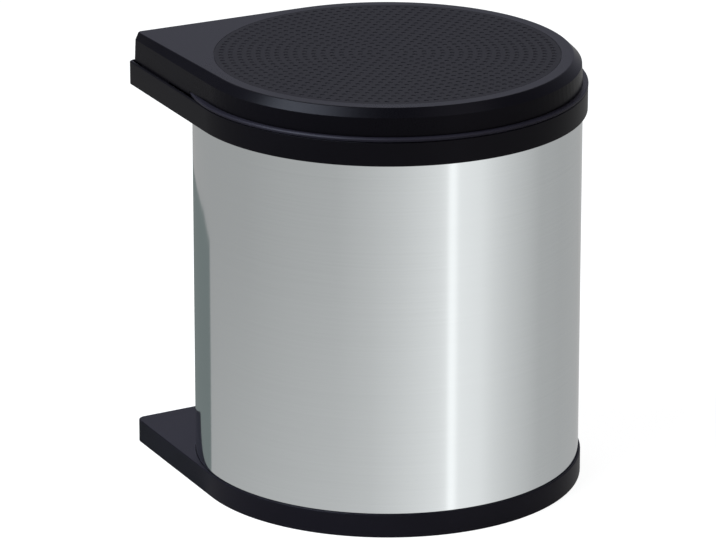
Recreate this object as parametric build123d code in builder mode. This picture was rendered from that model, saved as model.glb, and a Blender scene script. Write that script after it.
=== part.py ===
from build123d import *
import os
from math import acos, cos, degrees, radians, sin, sqrt

# Round swing-out waste bin for a kitchen cabinet.
# A steel drum stands in a moulded base and carries a moulded upper frame.
# Both mouldings run out to one square corner, where the bin turns on two upright pins
# held by a wall bracket, and a cam round the top pin lifts the lid as the bin swings out.
# Origin: on the drum's axis, at the underside of the base. +Z up, the wall lies at +Y,
# the cabinet door at -X and the square corner at -X +Y.

os.makedirs("parts", exist_ok=True)

# Drum: the sizes of everything round it follow from its radius
drum_radius = 145.0
drum_wall = 0.8
drum_gap = 0.3

# Base moulding
base_rim = 1.7
base_corner_inset = 4.5
base_blend = 7.0
base_height = 18.0
base_floor = 3.0
base_wall = 2.5
base_roof = 2.5
base_ring_wall = 2.0
base_foot_depth = 1.0
base_hub_radius = 30.0
base_foot_width = 14.0
base_rib = 2.0
base_rib_height = 3.0
base_rib_count = 8
base_collar_wall = 2.4
base_collar_height = 9.0

# Upper frame moulding
corner_angle = 135.0
frame_rim = 3.8
frame_corner_inset = 4.8
frame_blend = 4.6
frame_low = 286.5
frame_height = 18.2
frame_deck = 2.5
frame_wall = 2.5
frame_ring_wall = 2.4
frame_edge = 0.8
tray_floor = 2.5
smallest_blend = 1.0

# Inner bucket
bucket_setback = 9.0
bucket_draft = 17.0
bucket_wall = 2.2
bucket_foot = 14.0
bucket_kick = 3.0
bucket_kick_width = 18.0
bucket_gap = 1.0
rim_overhang = 0.2
rim_thick = 2.7
rim_edge = 0.8

# Bucket handle
handle_wire = 4.0
handle_setback = 12.0
handle_eye = 4.0
handle_eye_width = 4.0
handle_ear = 2.5
handle_ear_half = 4.0
handle_side_gap = 0.5
bow_end_share = 1.25
grip_radius = 4.5
grip_arc = 24.0

# Lid: each outline's circle, and how much further in its square corner lies
lid_setback = 3.7
lid_corner_setback = 3.0
lid_blend = 3.5
lid_taper = 1.0
lid_corner_taper = 0.5
lid_top_setback = 7.2
lid_top_corner_setback = 2.2
lid_bevel = 6.0
lid_rise = 22.8
lid_wall = 2.2
lid_roof = 2.5
lid_gap = 0.4
lid_corner_gap = 0.3
lid_rim_gap = 0.4
lid_panel_margin = 8.9
lid_panel_depth = 0.5
lid_ring_margin = 7.0
lid_ring_wall = 1.8
lid_ring_depth = 5.0

# Swing pivot at the corner
pivot_setback = 24.0
pin_radius = 4.0
running_gap = 0.06
fixed_gap = 0.02
clearance = 0.4
bush_radius = 6.0
bush_flange = 8.5
bush_flange_thick = 0.5
arm_width = 10.0
arm_thick = 3.0
arm_eye = 9.0
arm_gap = 0.3
arm_side_gap = 0.5
arm_knee_share = 0.55
arm_ring_clear = 4.7
arm_turn_share = 0.441
arm_frame_clear = 2.0
arm_bend = 7.0
washer_thick = 1.0
washer_radius = 8.0

# Wall bracket
bracket_thick = 2.5
bracket_width = 88.0
bracket_clear = 1.7
bracket_past_pivot = 56.0
bracket_bend = 3.0
bracket_corner = 6.0
bracket_bottom_arm = 5.0
bracket_hole_radius = 2.75
bracket_hole_across = 60.0
bracket_hole_up = 210.0
bracket_depth = 15.5
rivet_radius = 2.5
rivet_head = 4.5
rivet_head_height = 1.8
rivet_spacing = 14.0
rivet_inset = 17.0

# Lift cam, plunger and lid hinge
cam_radius = 14.5
cam_track = 11.5
cam_base = 1.0
cam_rise_share = 0.973
lift_per_radian = 5.0
swing_range = 90.0
lid_range = 45.0
plunger_radius = 2.5
plunger_head = 4.2
plunger_head_height = 1.5
plunger_gap = 0.45
heel_gap = 0.35
heel_radius = 2.5
heel_width = 8.0
hinge_setback = 7.5
hinge_pin_radius = 2.0
hinge_knuckle = 4.0
hinge_ear = 4.0
ear_inset = 0.7
hinge_past_pivot = 13.0
hinge_share = 0.49
hinge_side_gap = 0.4
bridge_thick = 2.5
bridge_left_share = 0.524
bridge_right_share = 0.345
bridge_corner_past = (15.5, 5.0)
block_thick = 2.5
block_post = 3.0
block_front_past = 1.5
block_back_gap = 2.0
block_post_radius = 3.5
lug_foot = 8.0

# Screws
screw_radius = 1.5
screw_head = 3.0
screw_head_height = 1.6
boss_radius = 3.4
end_screw_shares = ((-0.92, 0.58), (-0.386, 0.971))
inner_screw_turn = 6.0
inner_screw_gap = 1.0
bridge_screw_length = 11.0
block_screw_past = 5.5
block_screw_inset = 8.0
drum_screw_angles = (0.0, 90.0, 180.0, 270.0)
drum_screw_turn = 22.5
drum_screw_cover = 1.2

# Radii and places that follow from the drum's radius
base_radius = drum_radius + base_rim
base_corner = base_radius - base_corner_inset
frame_radius = drum_radius + frame_rim
frame_corner = frame_radius - frame_corner_inset
rim_radius = frame_radius + rim_overhang
bucket_radius = drum_radius - bucket_setback
bucket_foot_radius = bucket_radius - bucket_draft
handle_radius = rim_radius - handle_setback
lid_radius = frame_radius - lid_setback
lid_corner = frame_corner - lid_corner_setback
lid_shoulder_radius = lid_radius - lid_taper
lid_shoulder_corner = lid_corner - lid_corner_taper
lid_top_radius = lid_radius - lid_top_setback
lid_top_corner = lid_corner - lid_top_corner_setback
lid_panel_radius = lid_top_radius - lid_panel_margin
lid_ring_radius = lid_panel_radius - lid_ring_margin
drum_seat = drum_radius + drum_gap
ring_outer = drum_seat + frame_ring_wall
base_ring_outer = drum_seat + base_ring_wall
collar_outer = drum_radius - drum_wall - drum_gap
pivot = frame_corner - pivot_setback
hinge_y = frame_corner - hinge_setback
hinge_left = -(pivot + hinge_past_pivot)
hinge_right = -hinge_share * drum_radius
arm_line = frame_radius + arm_frame_clear + arm_width / 2
arm_knee_x = -arm_knee_share * drum_radius
arm_knee = (arm_knee_x, sqrt(ring_outer**2 - arm_knee_x**2) + arm_ring_clear + arm_width / 2)
arm_turn = (-arm_turn_share * drum_radius, arm_line)
bracket_left = -pivot + bracket_past_pivot
arm_end = (bracket_left + rivet_spacing + rivet_inset, arm_line)
bracket_front = frame_radius + bracket_clear
wall_face = bracket_front + bracket_depth
bridge_left_end = bridge_left_share * drum_radius
bridge_right_end = -bridge_right_share * drum_radius
bridge_corner_clear = (-(pivot + bridge_corner_past[0]), pivot + bridge_corner_past[1])
inner_screw_reach = ring_outer + boss_radius + inner_screw_gap
inner_screw = Vector(inner_screw_reach, 0, 0).rotate(Axis.Z, corner_angle + inner_screw_turn)
bridge_screws = [(x * drum_radius, y * drum_radius) for x, y in end_screw_shares]
bridge_screws.append((inner_screw.X, inner_screw.Y))
block_front = pivot + block_front_past
block_back = hinge_y - block_back_gap
upper_screw_tip = frame_radius - drum_screw_cover
ear_web = hinge_knuckle - ear_inset

# Heights that follow from the sizes above
frame_top = frame_low + frame_height
drum_low = base_floor
drum_top = frame_top - frame_deck
rim_top = frame_top + rim_thick
tray_top = frame_low + tray_floor
lid_top = frame_top + lid_rise
lid_low = rim_top + lid_gap
lid_corner_low = frame_top + lid_corner_gap
lid_shoulder = lid_top - lid_bevel
lid_under = lid_top - lid_roof
arm_low = tray_top + bush_flange_thick + arm_gap
arm_top = arm_low + arm_thick
slot_left = -(pivot + arm_eye + arm_width / 2 + arm_side_gap)
slot_right = arm_turn[0] + arm_side_gap * arm_width / 2
bridge_low = frame_top - bridge_thick
swing = radians(swing_range)
cam_half_rise = cam_rise_share * lift_per_radian * swing / 2
cam_slope = cam_half_rise / (cam_track * sin(swing / 2))
cam_low = arm_top + cam_base
cam_mid = cam_low + cam_half_rise
cam_top = bridge_low - clearance
nose_height = cam_low + (plunger_radius + plunger_gap) * sqrt(1 + cam_slope**2)
plunger_top = frame_top + clearance + plunger_head_height
lower_screw_height = base_floor + base_collar_height / 2
upper_screw_height = (tray_top + drum_top) / 2 - screw_head / 2

# The heel swings evenly above and below the hinge's level, so its rise is nearly linear
lid_swing = radians(lid_range)
heel_reach = lift_per_radian * swing / (2 * sin(lid_swing / 2))
heel_y = hinge_y - heel_reach * cos(lid_swing / 2)
heel_height = plunger_top + heel_gap + heel_radius
hinge_height = heel_height + heel_reach * sin(lid_swing / 2)
hinge_clear = hinge_knuckle + clearance
plunger_x = -pivot + sqrt(cam_track**2 - (heel_y - pivot) ** 2)
plunger_angle = degrees(acos((plunger_x + pivot) / cam_track))
handle_height = rim_top + grip_radius + fixed_gap
bottom_arm_low = bracket_bottom_arm
bottom_arm_top = bottom_arm_low + arm_thick
bottom_washer_top = bottom_arm_top + washer_thick
bottom_boss_low = bottom_washer_top + running_gap + bush_flange_thick
bottom_pin_top = base_height - base_roof - clearance

# Hinge block: its plate, lugs and screws
block_top = lid_under - block_post
block_low = block_top - block_thick
lug_low = hinge_left + hinge_ear + hinge_side_gap
lug_high = hinge_right - 2 * hinge_ear - hinge_side_gap
block_right = lug_high + hinge_ear
block_screw_line = pivot + block_screw_past
block_screws = [
    (lug_low + block_screw_inset, block_screw_line),
    (plunger_x + heel_width / 2 + block_screw_inset - screw_radius, block_screw_line),
    (block_right - block_screw_inset, block_screw_line),
]


def drop_face(radius, corner, blend, height, inset=0.0):
    """Round outline drawn out to one square corner by two flats that touch the circle."""
    ring = radius - inset
    reach = corner * ring / radius
    half = degrees(acos(radius / (corner * sqrt(2))))
    ends = [Vector(ring, 0, 0).rotate(Axis.Z, corner_angle + side * half) for side in (-1, 1)]
    with BuildSketch(Plane.XY.offset(height)) as outline:
        with BuildLine():
            CenterArc((0, 0), ring, corner_angle + half, 360 - 2 * half)
            Line(ends[0], (-reach, reach))
            Line((-reach, reach), ends[1])
        make_face()
        tip = outline.vertices().sort_by_distance((-reach, reach, 0))[0]
        fillet(tip, max(blend - inset, smallest_blend))
    return outline.sketch


def corner_face(radius, corner, blend, height, inset, clear_radius):
    """The part of the corner between the flats and the ring round the drum."""
    with BuildSketch(Plane.XY.offset(height)) as region:
        add(drop_face(radius, corner, blend, 0, inset))
        Circle(clear_radius, mode=Mode.SUBTRACT)
    return region.sketch


def radial_plane(angle):
    """Upright plane through the drum's axis: local X points outwards, local Y up."""
    turn = radians(angle)
    return Plane(origin=(0, 0, 0), x_dir=(cos(turn), sin(turn), 0), z_dir=(sin(turn), -cos(turn), 0))


def rectangle_between(low, high, mode=Mode.ADD):
    """Rectangle from its two opposite corners, for use inside a sketch."""
    centre = ((low[0] + high[0]) / 2, (low[1] + high[1]) / 2)
    with Locations(centre):
        Rectangle(abs(high[0] - low[0]), abs(high[1] - low[1]), mode=mode)


def arm_face(height):
    """Flat arm from the pivot, along the tray, out through the rear slot to the bracket."""
    with BuildSketch(Plane.XY.offset(height)) as outline:
        with BuildLine():
            FilletPolyline((-pivot, pivot), arm_knee, arm_turn, arm_end, radius=arm_bend)
        trace(line_width=arm_width)
        with Locations((-pivot, pivot)):
            Circle(arm_eye)
        with Locations(arm_end):
            Circle(arm_width / 2)
    return outline.sketch


def rivet_points():
    """Two rivets where each arm lies on the bracket."""
    return [(arm_end[0] - step * rivet_spacing, arm_end[1]) for step in (0, 1)]


def knuckle_face(x, outline_points):
    """Side face of a hinge ear or lug, drawn at x: its web and the round of its knuckle."""
    with BuildSketch(Plane(origin=(x, 0, 0), x_dir=(0, 1, 0), z_dir=(1, 0, 0))) as side:
        Polygon(*outline_points, align=None)
        with Locations((hinge_y, hinge_height)):
            Circle(hinge_knuckle)
    return side.sketch


# Wall side: bracket, arms, pins and cam

# Pressed channel: its back lies on the cabinet wall, its flanges carry the two arms
with BuildPart() as wall_bracket:
    with BuildSketch(Plane(origin=(bracket_left, 0, 0), x_dir=(0, 1, 0), z_dir=(1, 0, 0))) as channel:
        rectangle_between((bracket_front, bottom_arm_top), (wall_face, arm_low))
        fillet(channel.vertices().group_by(Axis.X)[-1], bracket_bend + bracket_thick)
        with BuildSketch(mode=Mode.SUBTRACT) as hollow:
            rectangle_between(
                (bracket_front - 1, bottom_arm_top + bracket_thick),
                (wall_face - bracket_thick, arm_low - bracket_thick),
            )
            fillet(hollow.vertices().group_by(Axis.X)[-1], bracket_bend)
    extrude(amount=bracket_width)
    front_corners = wall_bracket.edges().filter_by(Axis.Z).group_by(Axis.Y)[0]
    fillet(front_corners, bracket_corner)
    bracket_middle = bracket_left + bracket_width / 2
    bracket_centre = (bottom_arm_top + arm_low) / 2
    back_plane = Plane(origin=(bracket_middle, wall_face, bracket_centre), x_dir=(1, 0, 0), z_dir=(0, -1, 0))
    with BuildSketch(back_plane):
        with GridLocations(bracket_hole_across, bracket_hole_up, 2, 2):
            Circle(bracket_hole_radius)
    extrude(amount=bracket_thick, mode=Mode.SUBTRACT)
    with BuildSketch(Plane.XY.offset(bottom_arm_top)):
        with Locations(*rivet_points()):
            Circle(rivet_radius + fixed_gap)
    extrude(amount=arm_low - bottom_arm_top, mode=Mode.SUBTRACT)
wall_bracket.part.label = "wall_bracket"
export_step(wall_bracket.part, "parts/wall_bracket.step")


def build_arm(height):
    """One flat steel arm with its pin hole and rivet holes."""
    with BuildPart() as arm:
        extrude(arm_face(height), amount=arm_thick)
        with BuildSketch(Plane.XY.offset(height)):
            with Locations((-pivot, pivot)):
                Circle(pin_radius + fixed_gap)
            with Locations(*rivet_points()):
                Circle(rivet_radius + fixed_gap)
        extrude(amount=arm_thick, mode=Mode.SUBTRACT)
    return arm


top_arm = build_arm(arm_low)
top_arm.part.label = "top_arm"
export_step(top_arm.part, "parts/top_arm.step")

bottom_arm = build_arm(bottom_arm_low)
bottom_arm.part.label = "bottom_arm"
export_step(bottom_arm.part, "parts/bottom_arm.step")

# Domed rivets through each arm and the flange that it lies on
with BuildPart() as arm_rivets:
    for low, high in (
        (arm_low - bracket_thick, arm_top),
        (bottom_arm_low, bottom_arm_top + bracket_thick),
    ):
        for x, y in rivet_points():
            with BuildSketch(Plane(origin=(x, y, 0), x_dir=(1, 0, 0), z_dir=(0, -1, 0))):
                with BuildLine():
                    Polyline(
                        (0, low - rivet_head_height),
                        (rivet_head / 2, low - rivet_head_height),
                        (rivet_head, low),
                        (rivet_radius, low),
                        (rivet_radius, high),
                        (rivet_head, high),
                        (rivet_head / 2, high + rivet_head_height),
                        (0, high + rivet_head_height),
                        close=True,
                    )
                make_face()
            revolve(axis=Axis((x, y, 0), (0, 0, 1)))
arm_rivets.part.label = "arm_rivets"
export_step(arm_rivets.part, "parts/arm_rivets.step")

# Top pin: from the bush in the tray's floor, through arm and cam, to the bridge
with BuildPart() as top_pivot_pin:
    with BuildSketch(Plane.XY.offset(frame_low)):
        with Locations((-pivot, pivot)):
            Circle(pin_radius)
    extrude(amount=frame_height)
    chamfer(top_pivot_pin.edges().filter_by(GeomType.CIRCLE), pin_radius / 8)
top_pivot_pin.part.label = "top_pivot_pin"
export_step(top_pivot_pin.part, "parts/top_pivot_pin.step")

# Bottom pin: stands up from the bottom arm into the base
with BuildPart() as bottom_pivot_pin:
    with BuildSketch(Plane.XY.offset(bottom_arm_low)):
        with Locations((-pivot, pivot)):
            Circle(pin_radius)
    extrude(amount=bottom_pin_top - bottom_arm_low)
    chamfer(bottom_pivot_pin.edges().sort_by(Axis.Z)[-1], pin_radius / 8)
bottom_pivot_pin.part.label = "bottom_pivot_pin"
export_step(bottom_pivot_pin.part, "parts/bottom_pivot_pin.step")

with BuildPart() as thrust_washer:
    with BuildSketch(Plane.XY.offset(bottom_arm_top)):
        with Locations((-pivot, pivot)):
            Circle(washer_radius)
            Circle(pin_radius + fixed_gap, mode=Mode.SUBTRACT)
    extrude(amount=washer_thick)
thrust_washer.part.label = "thrust_washer"
export_step(thrust_washer.part, "parts/thrust_washer.step")

# Lift cam: a disc fixed round the top pin, cut by a slanting plane that lies close to a
# helix over the quarter turn that the plunger makes round it
ramp_turn = plunger_angle - swing_range / 2
ramp_plane = Plane(
    origin=(-pivot, pivot, cam_mid),
    x_dir=(cos(radians(ramp_turn)), sin(radians(ramp_turn)), 0),
    z_dir=(-sin(radians(ramp_turn)) * cam_slope, cos(radians(ramp_turn)) * cam_slope, 1),
)
with BuildPart() as lift_cam:
    with BuildSketch(Plane.XY.offset(arm_top)):
        with Locations((-pivot, pivot)):
            Circle(cam_radius)
    extrude(amount=cam_top - arm_top)
    split(bisect_by=ramp_plane, keep=Keep.BOTTOM)
    with BuildSketch(Plane.XY.offset(arm_top)):
        with Locations((-pivot, pivot)):
            Circle(cam_radius)
    extrude(amount=cam_base)
    with BuildSketch(Plane.XY.offset(arm_top)):
        with Locations((-pivot, pivot)):
            Circle(pin_radius + fixed_gap)
    extrude(amount=cam_top - arm_top, mode=Mode.SUBTRACT)
lift_cam.part.label = "lift_cam"
export_step(lift_cam.part, "parts/lift_cam.step")


# Bin side: base, drum, frame, bucket and what they hold

# Base: a dish for the drum with a hollow corner for the bottom arm
with BuildPart() as base_frame:
    extrude(drop_face(base_radius, base_corner, base_blend, 0), amount=base_height)
    with BuildSketch(Plane.XY.offset(base_floor)):
        Circle(drum_seat)
    extrude(amount=base_height, mode=Mode.SUBTRACT)
    pocket_height = base_height - base_roof - base_floor
    extrude(
        corner_face(base_radius, base_corner, base_blend, base_floor, base_wall, base_ring_outer),
        amount=pocket_height,
        mode=Mode.SUBTRACT,
    )
    # Slot in the rear wall, through which the arm turns
    with BuildSketch(Plane.XY.offset(bottom_arm_low - 2 * arm_gap)):
        rectangle_between((slot_left, base_corner - 3 * base_wall), (slot_right, base_radius + base_wall))
    extrude(amount=arm_thick + 4 * arm_gap, mode=Mode.SUBTRACT)
    # Boss for the bottom pin's bush, hung from the corner's roof
    with BuildSketch(Plane.XY.offset(bottom_boss_low)):
        with Locations((-pivot, pivot)):
            Circle(bush_flange)
    extrude(until=Until.NEXT)
    with BuildSketch(Plane.XY.offset(bottom_arm_top)):
        with Locations((-pivot, pivot)):
            Circle(bush_radius)
    extrude(amount=bottom_pin_top + clearance - bottom_arm_top, mode=Mode.SUBTRACT)
    # Collar inside the drum's foot, and ribs on the floor
    with BuildSketch(Plane.XY.offset(base_floor)):
        Circle(collar_outer)
        Circle(collar_outer - base_collar_wall, mode=Mode.SUBTRACT)
    extrude(amount=base_collar_height)
    with BuildSketch(Plane.XY.offset(base_floor)):
        Circle(base_hub_radius)
        Circle(base_hub_radius - base_rib, mode=Mode.SUBTRACT)
        rib_length = collar_outer - base_collar_wall / 2 - base_hub_radius + base_rib / 2
        with PolarLocations(base_hub_radius - base_rib / 2, base_rib_count):
            Rectangle(rib_length, base_rib, align=(Align.MIN, Align.CENTER))
    extrude(amount=base_rib_height)
    # Shallow relief underneath leaves a foot ring and a middle pad
    with BuildSketch(Plane.XY):
        Circle(base_radius - base_foot_width)
        Circle(base_hub_radius, mode=Mode.SUBTRACT)
    extrude(amount=base_foot_depth, mode=Mode.SUBTRACT)
    # Holes through the collar for the drum's lower screws
    for angle in drum_screw_angles:
        with BuildSketch(Plane(origin=(0, 0, base_floor + base_collar_height / 2), x_dir=(0, 0, 1),
                               z_dir=Vector(1, 0, 0).rotate(Axis.Z, angle + drum_screw_turn))):
            Circle(screw_radius + fixed_gap)
        extrude(amount=drum_radius - drum_wall, mode=Mode.SUBTRACT)
base_frame.part.label = "base_frame"
export_step(base_frame.part, "parts/base_frame.step")

# Drum: one straight rolled sheet tube between base and frame
with BuildPart() as steel_drum:
    with BuildSketch(Plane.XY.offset(drum_low)):
        Circle(drum_radius)
        Circle(drum_radius - drum_wall, mode=Mode.SUBTRACT)
    extrude(amount=drum_top - drum_low)
    for height in (lower_screw_height, upper_screw_height):
        for angle in drum_screw_angles:
            with BuildSketch(Plane(origin=(0, 0, height), x_dir=(0, 0, 1),
                                   z_dir=Vector(1, 0, 0).rotate(Axis.Z, angle + drum_screw_turn))):
                Circle(screw_radius + fixed_gap)
            extrude(amount=drum_radius + drum_wall, mode=Mode.SUBTRACT)
steel_drum.part.label = "steel_drum"
export_step(steel_drum.part, "parts/steel_drum.step")

# Screws through the drum's wall, from inside: below through the collar, above into the frame
upper_screw_head = drum_radius - drum_wall
lower_screw_head = collar_outer - base_collar_wall
with BuildPart() as drum_screws:
    for height, head_at, tip in (
        (lower_screw_height, lower_screw_head, drum_radius),
        (upper_screw_height, upper_screw_head, upper_screw_tip),
    ):
        for angle in drum_screw_angles:
            outwards = Vector(1, 0, 0).rotate(Axis.Z, angle + drum_screw_turn)
            place = outwards * (head_at - screw_head_height) + Vector(0, 0, height)
            with BuildSketch(Plane(origin=place, x_dir=(0, 0, 1), z_dir=outwards)):
                Circle(screw_head)
            extrude(amount=screw_head_height - running_gap)
            with BuildSketch(Plane(origin=place, x_dir=(0, 0, 1), z_dir=outwards)):
                Circle(screw_radius)
            extrude(amount=tip - head_at + screw_head_height)
drum_screws.part.label = "drum_screws"
export_step(drum_screws.part, "parts/drum_screws.step")

# Upper frame: a ring round the drum's top with an open tray at the corner
with BuildPart() as upper_frame:
    extrude(drop_face(frame_radius, frame_corner, frame_blend, frame_low), amount=frame_height)
    chamfer(upper_frame.faces().sort_by(Axis.Z)[-1].outer_wire().edges(), frame_edge)
    with BuildSketch(Plane.XY.offset(frame_low)):
        Circle(drum_seat)
    extrude(amount=frame_height - frame_deck, mode=Mode.SUBTRACT)
    with BuildSketch(Plane.XY.offset(frame_low)):
        Circle(bucket_radius + bucket_gap)
    extrude(amount=frame_height, mode=Mode.SUBTRACT)
    extrude(
        corner_face(frame_radius, frame_corner, frame_blend, tray_top, frame_wall, ring_outer),
        amount=frame_height,
        mode=Mode.SUBTRACT,
    )
    with BuildSketch(Plane.XY.offset(arm_low - 2 * arm_gap)):
        slot_back = frame_radius + frame_wall
        rectangle_between((slot_left, frame_corner - 3 * frame_wall), (slot_right, slot_back))
    extrude(amount=arm_thick + 4 * arm_gap, mode=Mode.SUBTRACT)
    # Bosses that carry the bridge, clear of the arm's path
    with BuildSketch(Plane.XY.offset(tray_top)):
        with Locations(*bridge_screws):
            Circle(boss_radius)
    extrude(amount=bridge_low - tray_top)
    with BuildSketch(Plane.XY.offset(frame_top - bridge_screw_length)):
        with Locations(*bridge_screws):
            Circle(screw_radius + fixed_gap)
    extrude(amount=bridge_screw_length, mode=Mode.SUBTRACT)
    with BuildSketch(Plane.XY.offset(frame_low)):
        with Locations((-pivot, pivot)):
            Circle(bush_radius)
    extrude(amount=tray_floor, mode=Mode.SUBTRACT)
    for angle in drum_screw_angles:
        outwards = Vector(1, 0, 0).rotate(Axis.Z, angle + drum_screw_turn)
        place = outwards * drum_radius + Vector(0, 0, upper_screw_height)
        with BuildSketch(Plane(origin=place, x_dir=(0, 0, 1), z_dir=outwards)):
            Circle(screw_radius + fixed_gap)
        extrude(amount=upper_screw_tip + fixed_gap - drum_radius, mode=Mode.SUBTRACT)
upper_frame.part.label = "upper_frame"
export_step(upper_frame.part, "parts/upper_frame.step")


def build_bush(seat_low, seat_high, flange_low):
    """Flanged plain bush for a pivot pin."""
    with BuildPart() as bush:
        with BuildSketch(Plane.XY.offset(seat_low)):
            with Locations((-pivot, pivot)):
                Circle(bush_radius - fixed_gap)
        extrude(amount=seat_high - seat_low)
        with BuildSketch(Plane.XY.offset(flange_low)):
            with Locations((-pivot, pivot)):
                Circle(bush_flange)
        extrude(amount=bush_flange_thick)
        with BuildSketch(Plane.XY.offset(min(seat_low, flange_low))):
            with Locations((-pivot, pivot)):
                Circle(pin_radius + running_gap)
        extrude(amount=seat_high - seat_low + bush_flange_thick, mode=Mode.SUBTRACT)
    return bush


top_pivot_bush = build_bush(frame_low, tray_top, tray_top)
top_pivot_bush.part.label = "top_pivot_bush"
export_step(top_pivot_bush.part, "parts/top_pivot_bush.step")

bottom_pivot_bush = build_bush(bottom_boss_low, bottom_pin_top, bottom_boss_low - bush_flange_thick)
bottom_pivot_bush.part.label = "bottom_pivot_bush"
export_step(bottom_pivot_bush.part, "parts/bottom_pivot_bush.step")

# Hinge bridge: closes the tray, steadies the top pin, guides the plunger, and carries the
# two ears of the lid's hinge
bridge_edge = corner_face(
    frame_radius, frame_corner, frame_blend, bridge_low, frame_wall + arm_gap, ring_outer + arm_gap
)
with BuildPart() as hinge_bridge:
    extrude(bridge_edge, amount=bridge_thick)
    with BuildSketch(Plane.XY.offset(bridge_low)):
        rectangle_between((-frame_radius, 0), (0, bridge_left_end))
        rectangle_between((bridge_right_end, 0), (0, frame_radius))
        rectangle_between(
            (-frame_radius, bridge_corner_clear[1]), (bridge_corner_clear[0], frame_radius)
        )
    extrude(amount=bridge_thick, mode=Mode.SUBTRACT)
    for left in (hinge_left, hinge_right - hinge_ear):
        ear_points = (
            (hinge_y - ear_web, bridge_low + bridge_thick / 2),
            (hinge_y + ear_web, bridge_low + bridge_thick / 2),
            (hinge_y + ear_web, hinge_height),
            (hinge_y - ear_web, hinge_height),
        )
        extrude(knuckle_face(left, ear_points), amount=hinge_ear)
    with BuildSketch(Plane(origin=(hinge_left, 0, 0), x_dir=(0, 1, 0), z_dir=(1, 0, 0))):
        with Locations((hinge_y, hinge_height)):
            Circle(hinge_pin_radius + fixed_gap)
    extrude(amount=hinge_right - hinge_left, mode=Mode.SUBTRACT)
    with BuildSketch(Plane.XY.offset(bridge_low)):
        with Locations((-pivot, pivot)):
            Circle(pin_radius + running_gap)
        with Locations((plunger_x, heel_y)):
            Circle(plunger_radius + running_gap)
        with Locations(*bridge_screws):
            Circle(screw_radius + running_gap)
    extrude(amount=bridge_thick, mode=Mode.SUBTRACT)
    with Locations(*[(x, y, frame_top) for x, y in bridge_screws]):
        Cone(screw_radius + running_gap, screw_head + running_gap, screw_head_height,
             align=(Align.CENTER, Align.CENTER, Align.MAX), mode=Mode.SUBTRACT)
hinge_bridge.part.label = "hinge_bridge"
export_step(hinge_bridge.part, "parts/hinge_bridge.step")

with BuildPart() as bridge_screw_set:
    with Locations(*[(x, y, frame_top) for x, y in bridge_screws]):
        Cone(screw_radius, screw_head, screw_head_height, align=(Align.CENTER, Align.CENTER, Align.MAX))
        Cylinder(screw_radius, bridge_screw_length - clearance,
                 align=(Align.CENTER, Align.CENTER, Align.MAX))
bridge_screw_set.part.label = "bridge_screws"
export_step(bridge_screw_set.part, "parts/bridge_screws.step")

with BuildPart() as lid_hinge_pin:
    pin_start = hinge_left - clearance
    with BuildSketch(Plane(origin=(pin_start, 0, 0), x_dir=(0, 1, 0), z_dir=(1, 0, 0))):
        with Locations((hinge_y, hinge_height)):
            Circle(hinge_pin_radius)
    extrude(amount=hinge_right - hinge_left + 2 * clearance)
lid_hinge_pin.part.label = "lid_hinge_pin"
export_step(lid_hinge_pin.part, "parts/lid_hinge_pin.step")

# Plunger: rides the cam on its round nose and hangs in the bridge by its head
with BuildPart() as lift_plunger:
    with BuildSketch(Plane(origin=(plunger_x, heel_y, 0), x_dir=(1, 0, 0), z_dir=(0, -1, 0))):
        with BuildLine():
            Polyline(
                (plunger_radius, nose_height),
                (plunger_radius, plunger_top - plunger_head_height),
                (plunger_head, plunger_top - plunger_head_height),
                (plunger_head, plunger_top),
                (0, plunger_top),
                (0, nose_height - plunger_radius),
            )
            CenterArc((0, nose_height), plunger_radius, -90, 90)
        make_face()
    revolve(axis=Axis((plunger_x, heel_y, 0), (0, 0, 1)))
lift_plunger.part.label = "lift_plunger"
export_step(lift_plunger.part, "parts/lift_plunger.step")

# Bucket: tapered moulding that hangs by its rim on the frame's deck
inner_top = bucket_radius - bucket_wall
inner_foot = bucket_foot_radius - bucket_wall
kick_radius = bucket_foot_radius - bucket_kick_width
with BuildPart() as inner_bucket:
    with BuildSketch(Plane.XZ):
        with BuildLine():
            Polyline(
                (0, bucket_foot + bucket_kick),
                (kick_radius - bucket_kick, bucket_foot + bucket_kick),
                (kick_radius, bucket_foot),
                (bucket_foot_radius - bucket_kick / 2, bucket_foot),
                (bucket_foot_radius, bucket_foot + bucket_kick / 2),
                (bucket_radius, frame_top),
                (rim_radius - rim_edge, frame_top),
                (rim_radius, frame_top + rim_edge),
                (rim_radius, rim_top - rim_edge),
                (rim_radius - rim_edge, rim_top),
                (inner_top + rim_edge, rim_top),
                (inner_top, rim_top - rim_edge),
                (inner_foot, bucket_foot + bucket_wall + bucket_kick / 2),
                (inner_foot - bucket_kick / 2, bucket_foot + bucket_wall),
                (kick_radius + bucket_wall / 2, bucket_foot + bucket_wall),
                (kick_radius + bucket_wall / 2 - bucket_kick, bucket_foot + bucket_wall + bucket_kick),
                (0, bucket_foot + bucket_wall + bucket_kick),
                close=True,
            )
        make_face()
    revolve(axis=Axis.Z)
    # Ears with stub pins for the handle
    ear_outer = handle_radius - handle_eye_width / 2 - handle_side_gap
    for side in (-1, 1):
        ear_inner = (side * (ear_outer - handle_ear), 0, 0)
        face_plane = Plane(origin=ear_inner, x_dir=(0, side, 0), z_dir=(side, 0, 0))
        with BuildSketch(face_plane):
            rectangle_between((-handle_ear_half, rim_top - rim_thick / 2), (handle_ear_half, handle_height))
            with Locations((0, handle_height)):
                Circle(handle_ear_half)
        extrude(amount=handle_ear)
        with BuildSketch(face_plane.offset(handle_ear)):
            with Locations((0, handle_height)):
                Circle(handle_wire / 2)
        extrude(amount=handle_eye_width + 2 * handle_side_gap)
inner_bucket.part.label = "inner_bucket"
export_step(inner_bucket.part, "parts/inner_bucket.step")

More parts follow.
